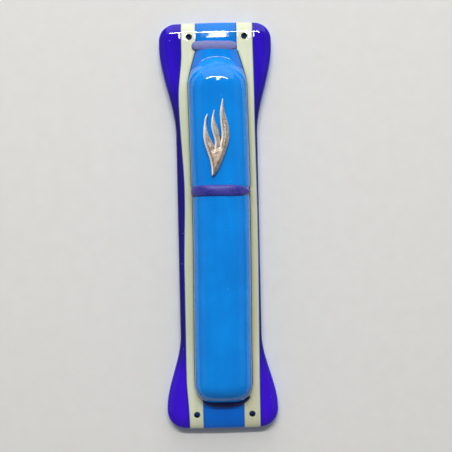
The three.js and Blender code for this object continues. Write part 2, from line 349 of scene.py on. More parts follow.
def back_face(x, z):
    return -rounding(plate_edge.distance(x, z), BACK_MELT, EDGE_DROP)


def bunched(share, ends):
    """Spreads 0 to 1 so that steps are small at the ends named: "low", "high" or "both"."""
    if ends == "both":
        return 0.5 + 0.5 * math.sin(math.pi * (share - 0.5))
    if ends == "low":
        return 1 - math.cos(math.pi / 2 * share)
    if ends == "high":
        return math.sin(math.pi / 2 * share)
    return share


def glass_strip(name, left, right, heights, surface, columns, rows=110, bunch_x="", bunch_z="both"):
    """One strip of the plate: its outer face follows surface(x, z), and its inner face is flat."""
    low, high = heights

    def place(i, j):
        z = mix(low, high, bunched(j / rows, bunch_z))
        x = mix(left(z), right(z), bunched(i / columns, bunch_x))
        return x, surface(x, z), bowed(x, z)

    piece = skin(name, columns, rows, place)

    def thicken():
        bpy.ops.mesh.extrude_region_move(TRANSFORM_OT_translate={"value": (0, 0, 0)})

    edit(piece, thicken)
    for vertex in piece.data.vertices:
        if vertex.select:
            vertex.co.y = MIDDLE * MM
    edit(piece, face_outwards)
    return piece


def drill(piece, holes):
    """Drills screw holes along Y, each with a melted rim at both faces."""
    rim = HOLE_RADIUS + 2 * HOLE_RIM
    mouth = rim + 0.3
    profile = [
        (FRONT - 1.7, mouth), (FRONT - 0.5, rim), (FRONT + 0.7, HOLE_RADIUS),
        (-0.4, HOLE_RADIUS), (0.4, rim), (1.2, mouth),
    ]

    for hole_x, hole_z in holes:
        def place(i, j):
            y, radius = profile[j]
            # From this start angle the cuts come out clean in all four pieces of glass.
            turn = 2 * math.pi * (i + 0.21) / HOLE_SIDES
            return hole_x + radius * math.cos(turn), y, hole_z + radius * math.sin(turn)

        cutter = tube("drill", HOLE_SIDES, len(profile) - 1, place)
        apply_modifier(piece, "BOOLEAN", operation="DIFFERENCE", object=cutter, solver="EXACT")
        bpy.data.objects.remove(cutter, do_unlink=True)
    edit(piece, merge_doubles)


whole = (-HALF_HEIGHT, HALF_HEIGHT)
front_strips = {
    "left_cobalt_strip": glass_strip(
        "left_cobalt_glass", left_edge, left_cobalt_seam, whole, front_face, columns=20, bunch_x="low"),
    "left_cream_strip": glass_strip(
        "left_cream_glass", left_cobalt_seam, left_cream_seam, whole, front_face, columns=28),
    "right_cream_strip": glass_strip(
        "right_cream_glass", right_cream_seam, right_cobalt_seam, whole, front_face, columns=28),
    "right_cobalt_strip": glass_strip(
        "right_cobalt_glass", right_cobalt_seam, right_edge, whole, front_face, columns=20, bunch_x="high"),
    "top_blue_strip": glass_strip(
        "top_blue_glass", left_cream_seam, right_cream_seam, (slot_top, HALF_HEIGHT), front_face,
        columns=30, rows=34, bunch_z="high"),
    "bottom_blue_strip": glass_strip(
        "bottom_blue_glass", left_cream_seam, right_cream_seam, (-HALF_HEIGHT, slot_bottom), front_face,
        columns=30, rows=34, bunch_z="low"),
}
base_sheets = {
    "base_left_sheet": glass_strip(
        "base_left_glass", left_edge, left_cream_seam, whole, back_face, columns=24, bunch_x="low"),
    "base_right_sheet": glass_strip(
        "base_right_glass", right_cream_seam, right_edge, whole, back_face, columns=24, bunch_x="high"),
    "base_top_sheet": glass_strip(
        "base_top_glass", left_cream_seam, right_cream_seam, (base_top, HALF_HEIGHT), back_face,
        columns=20, rows=30, bunch_z="high"),
    "base_bottom_sheet": glass_strip(
        "base_bottom_glass", left_cream_seam, right_cream_seam, (-HALF_HEIGHT, base_bottom), back_face,
        columns=20, rows=30, bunch_z="low"),
}
for side, holes in (("left", LEFT_HOLES), ("right", RIGHT_HOLES)):
    drill(front_strips[f"{side}_cream_strip"], holes)
    drill(base_sheets[f"base_{side}_sheet"], holes)
for node, piece in {**front_strips, **base_sheets}.items():
    seams = FRONT_SEAMS if node in front_strips else BASE_SEAMS
    smooth_shaded(piece)
    mark(piece, "seam", lambda x, y, z: seam_distance(x, z, seams))
    mark(piece, "edge", lambda x, y, z: plate_edge.distance(x, z))
    mark(piece, "bore", lambda x, y, z: hole_distance(x, z))


# ---- The hood: arches along Z that narrow and sink towards both ends ----

ARCH_POWER = 2.95
ARCH_STEPS = 44
TOE = (59.0, upper_high.z)
TOE_HALF = 8.7
TOE_STRAIGHT = 0.17
CROWN_TOP = 73.2
CROWN_DROOP = 5.6
DROOP_POWER = 2.2
SKIRT = 1.5
BLUNT_END = (lower_low.z + 9.0, lower_low.z)
END_HALF = 5.4
SUNK = 0.35
LEAN = 0.65
LEAN_MIDDLE = 5
LEAN_REACH = 75
PINCH_REACH = 3.2
PINCH_WIDTH = 0.75
PINCH_RISE = 0.12
LOWER_INSET = 0.35
CLOSEST_STATIONS = 0.02


def hood_centre(z):
    """The hood leans a little to the right of the plate's middle, most of all halfway up."""
    reach = min(1.0, abs(z - LEAN_MIDDLE) / LEAN_REACH)
    return 0.4 + LEAN * math.cos(math.pi / 2 * reach) ** 2


def hood_half(z):
    """Half the hood's width at a height z."""
    half = HOOD_HALF - PINCH_WIDTH * pinch(z) - LOWER_INSET * smoothstep((JOIN - z) / PINCH_REACH)
    if z > TOE[0]:
        share = (z - TOE[0]) / (TOE[1] - TOE[0])
        half -= (HOOD_HALF - TOE_HALF) * max(0.0, (share - TOE_STRAIGHT) / (1 - TOE_STRAIGHT)) ** 1.2
    if z < BLUNT_END[0]:
        half = END_HALF + (half - END_HALF) * blunt_turn(z)
    return half


def hood_rise(z, across=0.0):
    """How far the hood stands above the plate. Its round crown sinks to a low skirt that runs to the toe."""
    rise = HOOD_RISE - PINCH_RISE * pinch(z)
    sooner = CROWN_DROOP * abs(across) ** DROOP_POWER * smoothstep((z - TOE[0] + 8) / 10)
    share = min(1.0, max(0.0, (z + sooner - TOE[0]) / (CROWN_TOP - TOE[0])))
    along_skirt = (z - CROWN_TOP + CROWN_DROOP) / (TOE[1] - CROWN_TOP + CROWN_DROOP)
    skirt = SKIRT * (1 - 0.25 * smoothstep(along_skirt))
    rise = skirt + (rise - skirt) * math.cos(math.pi / 2 * share ** 1.45) ** 1.05
    if z < BLUNT_END[0]:
        rise *= blunt_turn(z) ** 0.9
    return rise


def pinch(z):
    """How much the melted join draws the hood in: 1 at the join, 0 past its reach."""
    return (1 - min(1.0, abs(z - JOIN) / PINCH_REACH) ** 2) ** 2


def blunt_turn(z):
    """From 1 where the blunt end starts to 0 at its tip, as a quarter of an ellipse."""
    share = min(1.0, (BLUNT_END[0] - z) / (BLUNT_END[0] - BLUNT_END[1]))
    return math.sqrt(max(0.0, 1 - share * share))


def superellipse(angle):
    """A point on a soft-shouldered arch, from (1, 0) at 0 over (0, 1) to (-1, 0) at pi."""
    across = math.copysign(abs(math.cos(angle)) ** (2 / ARCH_POWER), math.cos(angle))
    up = max(0.0, math.sin(angle)) ** (2 / ARCH_POWER)
    return across, up


def hood_point(angle, z):
    """A point on the hood's outer face."""
    across, up = superellipse(angle)
    x = hood_centre(z) + hood_half(z) * across
    y = FRONT + SUNK - (hood_rise(z, across) + SUNK) * up
    return Vector((x, y, z))


def evenly(low, high, steps):
    return [mix(low, high, k / steps) for k in range(steps + 1)]


def hood_stations(low, high):
    """Heights for the hood's cross-sections, close together where it curves."""
    stations = evenly(low, high, 28) + evenly(*TOE, 24)
    stations += evenly(JOIN - PINCH_REACH, JOIN + PINCH_REACH, 24)
    stations += evenly(CROWN_TOP - CROWN_DROOP - 1, CROWN_TOP + 0.5, 48)
    stations += [mix(*BLUNT_END, math.sin(math.pi / 2 * share)) for share in evenly(0, 1, 24)]
    stations = sorted({round(z, 4) for z in stations})
    inner = [z for z in stations if low + CLOSEST_STATIONS < z < high - CLOSEST_STATIONS]
    apart = [a for a, b in zip(inner, inner[1:] + [high]) if b - a > CLOSEST_STATIONS]
    return [low, *apart, high]


def hood_shell(name, low, high):
    """One piece of the hood: an outer and an inner arch joined along their feet, from low to high."""
    stations = hood_stations(low, high)
    around = 2 * (ARCH_STEPS + 1)
    hollow_low = low if low > 0 else low + SHEET
    hollow_high = high if high < TOE[0] else high - SHEET

    def place(i, j):
        z = stations[j]
        if i <= ARCH_STEPS:
            point = hood_point(math.pi * i / ARCH_STEPS, z)
            wave = 0.06 * lump(*point, 16) + 0.006 * lump(*point, 6, seed=2)
            return point.x, point.y + wave, point.z
        across, up = superellipse(math.pi * (around - 1 - i) / ARCH_STEPS)
        inner_rise = max(0.0, hood_rise(z, across)) * (HOOD_RISE - SHEET) / HOOD_RISE
        inner_z = mix(hollow_low, hollow_high, (z - low) / (high - low))
        return hood_centre(z) + (hood_half(z) - SHEET) * across, FRONT + SUNK - inner_rise * up, inner_z

    piece = tube(name, around, len(stations) - 1, place)
    smooth_shaded(piece)
    return piece


upper_hood = hood_shell("upper_hood_glass", JOIN, TOE[1])
lower_hood = hood_shell("lower_hood_glass", BLUNT_END[1], JOIN)


BEYOND = 10.0
NO_BORE = 100.0


def foot_distance(x, y, z):
    """How far a point on the hood lies above the plate's front."""
    return FRONT - y


def aside(x, y, z):
    """How far a point lies from the hood's middle towards its sides, from 0 to 1."""
    return abs(x - hood_centre(z)) / hood_half(z)


def crown_distance(x, y, z):
    """How far a point on the outer face lies from the line where the crown meets the skirt."""
    return abs(z - (CROWN_TOP - CROWN_DROOP * min(1.0, aside(x, y, z)) ** DROOP_POWER))


def hood_shadow_distance(x, y, z):
    """How far a point on the plate lies from the hood's side, or BEYOND it above and below the hood. It
    places the painted shadow beside the hood.
    """
    if z > TOE[1] or z < BLUNT_END[1] + 0.3:
        return BEYOND
    return abs(x - hood_centre(z)) - hood_half(z)


for piece in front_strips.values():
    mark(piece, "hood_shadow_distance", hood_shadow_distance)

for piece in (upper_hood, lower_hood):
    mark(piece, "foot", foot_distance)
    mark(piece, "aside", aside)
    mark(piece, "crown", crown_distance)
    mark(piece, "bore", lambda x, y, z: NO_BORE)


# ---- The bands: melted ribbons of textured glass ----

RIBBON_SIDES = 24
RIBBON_LENGTH = 40
RIBBON_SUNK = 0.5


def ribbon(name, path, half, rise, seed, rows=90, flat=0.8):
    """A melted ribbon along path(share) -> (point, outward normal, direction across), with round ends."""
    def place(i, j):
        share = 0.5 - 0.5 * math.cos(math.pi * j / rows)
        turn = 2 * math.pi * i / RIBBON_SIDES
        end = math.sqrt(max(0.0, 1 - abs(2 * share - 1) ** 9))
        point, outward, across = path(share)
        along = share * RIBBON_LENGTH
        ragged = 1 + 0.07 * lump(along, 0, 0, 5, seed) + 0.02 * lump(along, 5 * math.sin(turn), 0, 1.5, seed)
        width = half(share) * ragged * end
        lift = rise * (0.35 + 0.65 * end) * max(0.0, math.sin(turn)) ** flat
        lift += 0.05 * lump(along, math.cos(turn) * 2, 0, 1.1, seed) * max(0.0, math.sin(turn))
        lift -= RIBBON_SUNK * max(0.0, -math.sin(turn))
        return point + across * width * math.cos(turn) + outward * lift

    piece = tube(name, RIBBON_SIDES, rows, place)
    smooth_shaded(piece, 60)
    return piece


UP = Vector((0, 0, 1))
OUT = Vector((0, -1, 0))


def over_hood(share):
    """The middle band's path: over the hood from its left foot to its right foot."""
    angle = math.pi * (1 - share)
    z = JOIN + 0.35 * math.sin(3.5 * share + 0.4)
    here = hood_point(angle, z)
    ahead = hood_point(max(0.0, angle - 0.01), z)
    behind = hood_point(min(math.pi, angle + 0.01), z)
    along = (ahead - behind).normalized()
    return here, along.cross(UP).normalized(), UP


TAIL_START = 8.5
TAIL_LENGTH = 5.0


def middle_half(share):
    """The middle band is full at its left end and drawn out to a thin tail over the hood's right shoulder."""
    point = over_hood(share)[0]
    tail = smoothstep((point.x - TAIL_START) / TAIL_LENGTH)
    return mix(2.45, 2.25, share) * (1 - 0.55 * tail) - 0.5 * smoothstep((point.y - FRONT + 3.5) / 3.5)


top_band_low, top_band_high = box_mm("top_band")


def across_plate(share):
    """The top band's path: straight across the plate, with a slight bend."""
    x = mix(top_band_low.x, top_band_high.x, share)
    z = (top_band_low.z + top_band_high.z) / 2 + 0.15 * math.sin(5 * share)
    return Vector((x, FRONT - 0.05, z)), OUT, UP


FOOT_X = 1.5
FOOT_REACH = 10.4
LEFT_CLIMB = 1.6
RIGHT_CLIMB = 3.4


def round_foot(share):
    """The bottom band's path: round the foot of the hood's blunt end, and further up it at the right."""
    turn = mix(-1, 1, share)
    climb = RIGHT_CLIMB if turn > 0 else LEFT_CLIMB
    x = FOOT_X + FOOT_REACH * turn
    z = BLUNT_END[1] - 1.2 + climb * abs(turn) ** 3
    slope = math.copysign(climb * 3 * turn * turn / FOOT_REACH, turn)
    across = Vector((-slope, 0, 1)).normalized()
    return Vector((x, FRONT - 0.15, z)), (OUT + across * 0.35).normalized(), across


middle_band = ribbon("middle_band_glass", over_hood, middle_half, 1.1, seed=1, rows=150)
top_band = ribbon("top_band_glass", across_plate, lambda share: 2.1, 1.3, seed=2, flat=0.45)
bottom_band = ribbon(
    "bottom_band_glass", round_foot, lambda share: mix(0.7, 1.15, math.sin(math.pi * share)), 1.3, seed=3)


# ---- The flame: three tongues of cast metal, ridged along their middles ----

flame_low, flame_high = box_mm("flame_ornament")
FLAME_EDGES = [
    [(-2.1, -16), (-2.6, -10.1), (-4.8, -2.7), (-5.3, 2), (-4.6, 7.6), (-3.5, 9.9)],
    [(-3.5, 9.9), (-4.2, 5.6), (-3.3, 0.8), (-1.4, -3.2), (-1, -5.3)],
    [(-1, -5.3), (-0.5, -1.8), (-1.8, 3.6), (-1.75, 7.6), (-0.6, 11.7)],
    [(-0.6, 11.7), (-0.7, 7.6), (0.7, 3.1), (1.3, -1), (1.15, -4.5)],
    [(1.15, -4.5), (2.4, 0.6), (1.95, 6.8), (1.9, 11.2), (3, 16.3)],
    [(3, 16.3), (3.4, 11.4), (5, 4.8), (5.1, -0.6), (3.2, -7), (0.4, -13.2), (-1.6, -16.2)],
]


FLAME_STEPS = 8
FLAME_SWELL = 0.2
FLAME_RIM = 0.75
RIDGE_HEIGHT = 1.25
RIDGE_REACH = 1.3
UPPER_LEFT = Vector((-0.93, 0.37, 0))


def spline(points):
    """Points along a smooth curve through the points given, leaving out the last."""
    result = []
    for k in range(len(points) - 1):
        four = [points[min(len(points) - 1, max(0, k + step))] for step in (-1, 0, 1, 2)]
        for step in range(FLAME_STEPS):
            t = step / FLAME_STEPS
            result.append(tuple(
                0.5 * (2 * b + (c - a) * t + (2 * a - 5 * b + 4 * c - d) * t * t
                       + (3 * b - a - 3 * c + d) * t ** 3)
                for a, b, c, d in zip(*four)
            ))
    return result


def swollen(points, amount):
    """An outline moved outwards by an amount. Its points run clockwise."""
    result = []
    for before, here, after in zip(points[-1:] + points[:-1], points, points[1:] + points[:1]):
        along = Vector((after[0] - before[0], after[1] - before[1])).normalized()
        result.append((here[0] - along.y * amount, here[1] + along.x * amount))
    return result


def flame_outline(edges):
    """The casting's outline at its place on the hood, from its edges."""
    centre_x = (flame_low.x + flame_high.x) / 2 + 0.1
    centre_z = (flame_low.z + flame_high.z) / 2 - 0.05
    return swollen([(x + centre_x, z + centre_z) for part in edges for x, z in spline(part)], FLAME_SWELL)


def flame():
    """The casting. Between its middle and right tongues a thin web, coloured dark as painted shade, fills the
    root of the gap.
    """
    edge = Edge(flame_outline(FLAME_EDGES))
    # The web stands in for the shade at the root of the gap; the pewter colours it dark.
    webbed = list(FLAME_EDGES)
    webbed[3] = FLAME_EDGES[3][:-2] + [(1.25, 0.2), (1.6, 0.4)]
    webbed[4] = [(1.6, 0.4), (2.25, 0.9)] + FLAME_EDGES[4][2:]
    back = flame_high.y
    piece = slab("flame_casting", flame_outline(webbed), back - FLAME_RIM, back)
    apply_modifier(piece, "REMESH", mode="VOXEL", voxel_size=0.11 * MM)
    depths = []
    for vertex in piece.data.vertices:
        x, y, z = vertex.co / MM
        inside = edge.depth(x, z)
        depths.append(inside)
        front = max(0.0, min(1.0, (back - y) / FLAME_RIM))
        ridge = RIDGE_HEIGHT * min(1.0, max(0.0, inside) / RIDGE_REACH) ** 0.75
        vertex.co.y -= ridge * front * MM
    apply_modifier(piece, "SMOOTH", factor=0.5, iterations=3)
    rim_depth = piece.data.attributes.new("rim", "FLOAT", "POINT")
    for vertex, inside in zip(piece.data.vertices, depths):
        rim_depth.data[vertex.index].value = inside
    mark(piece, "lit", lambda x, y, z: edge.facing(x, z, UPPER_LEFT))
    smooth_shaded(piece, 60)
    return piece


flame_casting = flame()


GLUE_POINTS = 48


def glue():
    """A flattened drop of glue under the flame's broad lower part, with a wavy edge."""
    low, high = box_mm("flame_glue_bed")
    middle_x = (low.x + high.x) / 2
    middle_z = (low.z + high.z) / 2 - 1.0
    radius_x = (high.x - low.x) / 2 - 0.5
    radius_z = (high.z - low.z) / 2 - 1.4
    outline = []
    for k in range(GLUE_POINTS):
        turn = 2 * math.pi * k / GLUE_POINTS
        ragged = 1 + 0.05 * math.sin(5 * turn + 1)
        x = middle_x + radius_x * ragged * math.cos(turn)
        z = middle_z + radius_z * ragged * math.sin(turn)
        outline.append((x, z))
    piece = slab("glue_pad", outline, low.y + 0.02, high.y + 0.1)
    apply_modifier(piece, "BEVEL", width=0.1 * MM, segments=3, limit_method="ANGLE")
    smooth_shaded(piece)
    return piece


glue_pad = glue()


# ---- The back cover and its tape ----

COVER_CORNER = 1.0
COVER_BEVEL = 0.3
NOTCH_RADIUS = 3.0
TAPE_CORNER = 0.3
TAPE_BEVEL = 0.08
CORNER_STEPS = 6
NOTCH_STEPS = 16


def rounded_box(low, high, radius):
    """A rectangle's outline with round corners, anticlockwise from its lower right corner."""
    points = []
    for quarter, (x, z) in enumerate((
        (high.x - radius, low.z + radius), (high.x - radius, high.z - radius),
        (low.x + radius, high.z - radius), (low.x + radius, low.z + radius),
    )):
        for k in range(CORNER_STEPS + 1):
            angle = math.pi / 2 * (quarter - 1 + k / CORNER_STEPS)
            points.append((x + radius * math.cos(angle), z + radius * math.sin(angle)))
    return points


def cover():
    """The cover, with a fingernail notch halfway down its left edge."""
    low, high = box_mm("back_cover")
    outline = rounded_box(low, high, COVER_CORNER)
    left_side = 3 * (CORNER_STEPS + 1)
    arc = [math.pi / 2 * (1 - 2 * k / NOTCH_STEPS) for k in range(NOTCH_STEPS + 1)]
    bite = [(low.x + NOTCH_RADIUS * math.cos(a), NOTCH_RADIUS * math.sin(a)) for a in arc]
    outline = outline[:left_side] + bite + outline[left_side:]
    piece = slab("cover_plate", outline, low.y, high.y)
    sharp = math.radians(60)
    apply_modifier(
        piece, "BEVEL", width=COVER_BEVEL * MM, segments=3, limit_method="ANGLE", angle_limit=sharp)
    smooth_shaded(piece)
    return piece


def tape(node, name):
    low, high = box_mm(node)
    piece = slab(name, rounded_box(low, high, TAPE_CORNER), low.y, high.y)
    apply_modifier(piece, "BEVEL", width=TAPE_BEVEL * MM, segments=2, limit_method="ANGLE")
    smooth_shaded(piece)
    return piece


cover_plate = cover()
tapes = {node: tape(node, node + "_foam") for node in ("cover_tape_top", "cover_tape_bottom")}


# ---- The parchment, rolled in a film sleeve ----

parchment_low, parchment_high = box_mm("parchment_scroll")
sleeve_low, sleeve_high = box_mm("scroll_sleeve")
sleeve_middle = (sleeve_low + sleeve_high) / 2
TURNS = 5
PITCH = 0.6
ROLL_RADIUS = 4.85
PAPER = 0.28
FILM = 0.08
FILM_OVERLAP = math.radians(24)
FILM_START = math.radians(120)


def around_scroll(radius, angle, z):
    return sleeve_middle.x + radius * math.cos(angle), sleeve_middle.y + radius * math.sin(angle), z


def parchment():
    """A sheet rolled into a spiral, whose ends are a little uneven."""
    columns = TURNS * 40
    rows = 40

    def place(i, j):
        angle = 2 * math.pi * TURNS * i / columns
        z = mix(parchment_low.z, parchment_high.z, bunched(j / rows, "both"))
        radius = ROLL_RADIUS - PAPER / 2 - PITCH * angle / (2 * math.pi)
        radius += 0.05 * lump(4 * math.cos(angle), 4 * math.sin(angle), z, 9)
        uneven = {0: 0.25, rows: -0.25}.get(j, 0)
        return around_scroll(radius, angle, z + uneven * math.sin(angle * 0.37))

    piece = skin("parchment_roll", columns, rows, place)
    apply_modifier(piece, "SOLIDIFY", thickness=PAPER * MM, offset=0)
    edit(piece, face_outwards)
    smooth_shaded(piece)
    return piece


def sleeve():
    """A strip of film rolled round with a small overlap."""
    columns = 88
    rows = 12
    outer = (sleeve_high.x - sleeve_low.x) / 2

    def place(i, j):
        share = i / columns
        angle = FILM_START + (2 * math.pi + FILM_OVERLAP) * share
        radius = outer - FILM / 2 - 0.1 * smoothstep((share - 0.93) / 0.06)
        return around_scroll(radius, angle, mix(sleeve_low.z, sleeve_high.z, j / rows))

    piece = skin("film_sleeve", columns, rows, place)
    apply_modifier(piece, "SOLIDIFY", thickness=FILM * MM, offset=0)
    edit(piece, face_outwards)
    smooth_shaded(piece)
    return piece


parchment_roll = parchment()
film_sleeve = sleeve()


# ---- Materials: shared effects as node groups ----
#
# Object coordinates and heights are in metres. The attributes on the pieces are in millimetres.

def rgb(red, green, blue):
    """An sRGB colour from 0 to 255 as linear RGBA."""
    channels = []
    for value in (red, green, blue):
        value /= 255
        channels.append(value / 12.92 if value <= 0.04045 else ((value + 0.055) / 1.055) ** 2.4)
    return (*channels, 1.0)


def feed(tree, socket, value):
    """Links another node's output to a socket, or sets the socket to a plain value."""
    if isinstance(value, bpy.types.NodeSocket):
        tree.links.new(value, socket)
    else:
        socket.default_value = value


class Tree:
    """Adds nodes to a node tree, and links or sets their inputs by name."""

    def __init__(self, tree):
        self.tree = tree

    def node(self, kind, settings=None, **inputs):
        node = self.tree.nodes.new(kind)
        for key, value in (settings or {}).items():
            setattr(node, key, value)
        for key, value in inputs.items():
            self.put(node, key.replace("_", " "), value)
        return node

    def put(self, node, name, value):
        feed(self.tree, next(s for s in node.inputs if s.name.lower() == name.lower() and s.enabled), value)

    def maths(self, operation, *values, clamp=False):
        node = self.node("ShaderNodeMath", {"operation": operation, "use_clamp": clamp})
        for socket, value in zip(node.inputs, values):
            feed(self.tree, socket, value)
        return node.outputs[0]

    def times(self, a, b):
        return self.maths("MULTIPLY", a, b)

    def fade(self, value, start, end, low=0.0, high=1.0):
        """value between start and end, mapped smoothly to between low and high."""
        node = self.node("ShaderNodeMapRange", {"interpolation_type": "SMOOTHSTEP"}, Value=value)
        for name, number in (("From Min", start), ("From Max", end), ("To Min", low), ("To Max", high)):
            node.inputs[name].default_value = number
        return node.outputs[0]

    def blend(self, factor, a, b):
        """Two colours mixed by a factor."""
        node = self.node("ShaderNodeMix", {"data_type": "RGBA"})
        for index, value in ((0, factor), (6, a), (7, b)):
            feed(self.tree, node.inputs[index], value)
        return node.outputs[2]

    def place(self):
        return self.node("ShaderNodeTexCoord").outputs["Object"]

    def along(self, axis):
        """A point's X, Y or Z, in metres."""
        return self.node("ShaderNodeSeparateXYZ", Vector=self.place()).outputs[axis]

    def attribute(self, name):
        return self.node("ShaderNodeAttribute", {"attribute_name": name}).outputs["Fac"]

    def stretched(self, x, y, z):
        """Object coordinates scaled along each axis."""
        return self.node("ShaderNodeMapping", Vector=self.place(), Scale=(x, y, z)).outputs[0]

    def noise(self, scale, detail=2.0, vector=None, distortion=0.0):
        place = vector or self.place()
        return self.node(
            "ShaderNodeTexNoise", Vector=place, Scale=scale, Detail=detail, Distortion=distortion,
        ).outputs[0]

    def cells(self, scale):
        return self.node("ShaderNodeTexVoronoi", Vector=self.place(), Scale=scale).outputs["Distance"]

    def bump(self, height, distance, strength=1.0, normal=None):
        node = self.node("ShaderNodeBump", Height=height, Distance=distance, Strength=strength)
        if normal is not None:
            self.put(node, "Normal", normal)
        return node.outputs[0]


def new_group(name, inputs, outputs):
    """A node group with float inputs, given as name: default, and outputs given as name: socket type."""
    group = bpy.data.node_groups.new(name, "ShaderNodeTree")
    for label, value in inputs.items():
        socket = group.interface.new_socket(label, in_out="INPUT", socket_type="NodeSocketFloat")
        socket.default_value = value
    for label, kind in outputs.items():
        group.interface.new_socket(label, in_out="OUTPUT", socket_type=kind)
    tree = Tree(group)
    return group, tree, tree.node("NodeGroupInput").outputs, tree.node("NodeGroupOutput")


def use_group(tree, group, **inputs):
    return tree.node("ShaderNodeGroup", {"node_tree": group}, **inputs).outputs


GLASS_IOR = 1.5
POLISH = 0.03


def kiln_surface_group():
    """The skin of kiln-fired glass: slow waves, fine orange peel, smears, and a few pinholes and seeds."""
    group, tree, given, out = new_group(
        "kiln_surface", {"Waves": 1.0, "Pinholes": 1.0},
        {"Normal": "NodeSocketVector", "Roughness": "NodeSocketFloat", "Pinhole": "NodeSocketFloat",
         "Seed": "NodeSocketFloat"},
    )
    waves = tree.bump(tree.noise(85, 1.0), 0.00012, given["Waves"])
    peel = tree.bump(tree.noise(850, 2.0), 0.000004, 1.0, waves)
    spots = tree.cells(210)
    rare = tree.fade(tree.noise(330, 0.0), 0.62, 0.68)
    hole = tree.times(tree.fade(spots, 0.07, 0.03), rare)
    hole = tree.maths("MULTIPLY", hole, given["Pinholes"], clamp=True)
    pitted = tree.bump(tree.maths("SUBTRACT", 1.0, hole), 0.00018, 1.0, peel)
    smear = tree.fade(tree.noise(60, 5.0, distortion=1.2), 0.45, 0.75, 0.0, 0.025)
    rough = tree.maths("ADD", POLISH, smear)
    tree.put(out, "Normal", pitted)
    tree.put(out, "Roughness", tree.maths("ADD", rough, tree.times(hole, 0.3)))
    tree.put(out, "Pinhole", hole)
    some = tree.fade(tree.noise(240, 0.0), 0.56, 0.6)
    tree.put(out, "Seed", tree.times(tree.fade(tree.cells(330), 0.06, 0.03), some))
    return group


def streaks_group():
    """Long soft streaks inside drawn glass, and a slower mottling, from 0 to 1."""
    group, tree, _, out = new_group(
        "glass_streaks", {}, {"Streaks": "NodeSocketFloat", "Mottling": "NodeSocketFloat"})
    tree.put(out, "Streaks", tree.fade(tree.noise(260, 3.0, tree.stretched(1, 1, 0.09), 0.4), 0.3, 0.7))
    tree.put(out, "Mottling", tree.fade(tree.noise(48, 3.0, None, 0.6), 0.3, 0.7))
    return group


def seam_group():
    """Two masks for a seam in melted glass: a soft halo beside it, and the thin line where it runs."""
    group, tree, given, out = new_group(
        "melted_seam", {"Distance": 10.0, "Halo width": 1.6, "Line width": 0.35},
        {"Halo": "NodeSocketFloat", "Line": "NodeSocketFloat"},
    )
    ragged = tree.maths("MULTIPLY_ADD", tree.noise(300, 3.0), 0.9, 0.55)
    halo = tree.maths("DIVIDE", given["Distance"], tree.times(given["Halo width"], ragged))
    line = tree.maths("DIVIDE", given["Distance"], given["Line width"])
    tree.put(out, "Halo", tree.fade(halo, 1.0, 0.0))
    tree.put(out, "Line", tree.fade(line, 1.0, 0.3))
    return group


def fleck_group():
    """Flecks of two sizes scattered over a surface."""
    group, tree, given, out = new_group(
        "flecks", {"Scale": 1500.0, "Share": 0.5}, {"Fine": "NodeSocketFloat", "Coarse": "NodeSocketFloat"})
    level = tree.maths("SUBTRACT", 1.0, given["Share"])
    kept = tree.maths("GREATER_THAN", tree.noise(given["Scale"], 1.0), level)
    fine = tree.cells(given["Scale"])
    coarse = tree.cells(tree.times(given["Scale"], 0.32))
    tree.put(out, "Fine", tree.times(tree.fade(fine, 0.42, 0.22), kept))
    tree.put(out, "Coarse", tree.times(tree.fade(coarse, 0.32, 0.14), kept))
    return group


KILN_SURFACE = kiln_surface_group()
STREAKS = streaks_group()
SEAM = seam_group()
FLECKS = fleck_group()


def new_material(name, **principled):
    """A material with one Principled shader whose plain values are given, its tree and its shader."""
    look = bpy.data.materials.new(name)
    look.use_nodes = True
    shader = look.node_tree.nodes["Principled BSDF"]
    for key, value in principled.items():
        shader.inputs[key.replace("_", " ")].default_value = value
    return look, Tree(look.node_tree), shader


def streaked(tree, deep, pale, streak, strength=0.3):
    """A mottled glass colour between two shades, with long streaks of a third."""
    streaks = use_group(tree, STREAKS)
    colour = tree.blend(streaks["Mottling"], deep, pale)
    return tree.blend(tree.fade(streaks["Streaks"], 0.0, 1.0, 0.0, strength), colour, streak)


def glass_finish(tree, shader, colour, waves=1.0, pinholes=1.0):
    """Gives a glass its colour and the kiln's surface, and paints shade, near black, on the walls of its
    screw holes.
    """
    surface = use_group(tree, KILN_SURFACE, Waves=waves, Pinholes=pinholes)
    # Painted shade: each pinhole is coloured near black, standing in for the shade inside the pit.
    spotted = tree.blend(surface["Pinhole"], colour, rgb(12, 12, 30))
    spotted = tree.blend(tree.times(surface["Seed"], 0.6), spotted, rgb(206, 214, 236))
    # Painted shade: the walls of the screw holes are coloured near black, standing in for their shadow.
    bore_shade = tree.fade(tree.attribute("bore"), HOLE_RADIUS + 0.12, HOLE_RADIUS + 0.04)
    tree.put(shader, "Base Color", tree.blend(bore_shade, spotted, rgb(4, 4, 5)))
    tree.put(shader, "Roughness", surface["Roughness"])
    tree.put(shader, "Normal", surface["Normal"])


def cobalt_glass():
    """Cobalt with painted shade along its outer edge at the waist, and violet in the two lower corners."""
    look, tree, shader = new_material("cobalt_glass", IOR=GLASS_IOR)
    colour = streaked(tree, rgb(38, 6, 184), rgb(50, 12, 204), rgb(28, 4, 150))
    height = tree.along("Z")
    waist = tree.fade(tree.maths("ABSOLUTE", height), 0.068, 0.046, 0.2, 0.9)
    colour = tree.blend(tree.fade(height, -0.045, -0.070, 0.0, 0.6), colour, rgb(70, 14, 232))
    # Painted shade: the cobalt is darkened along its rounded outer edge, most of all at the waist.
    deep = tree.times(tree.fade(tree.attribute("edge"), 5.5, 0.8), waist)
    colour = tree.blend(deep, colour, rgb(18, 6, 100))
    seam = use_group(tree, SEAM, Distance=tree.attribute("seam"), Halo_width=0.7)
    colour = tree.blend(seam["Halo"], colour, rgb(26, 20, 120))
    glass_finish(tree, shader, colour, waves=0.8)
    return look


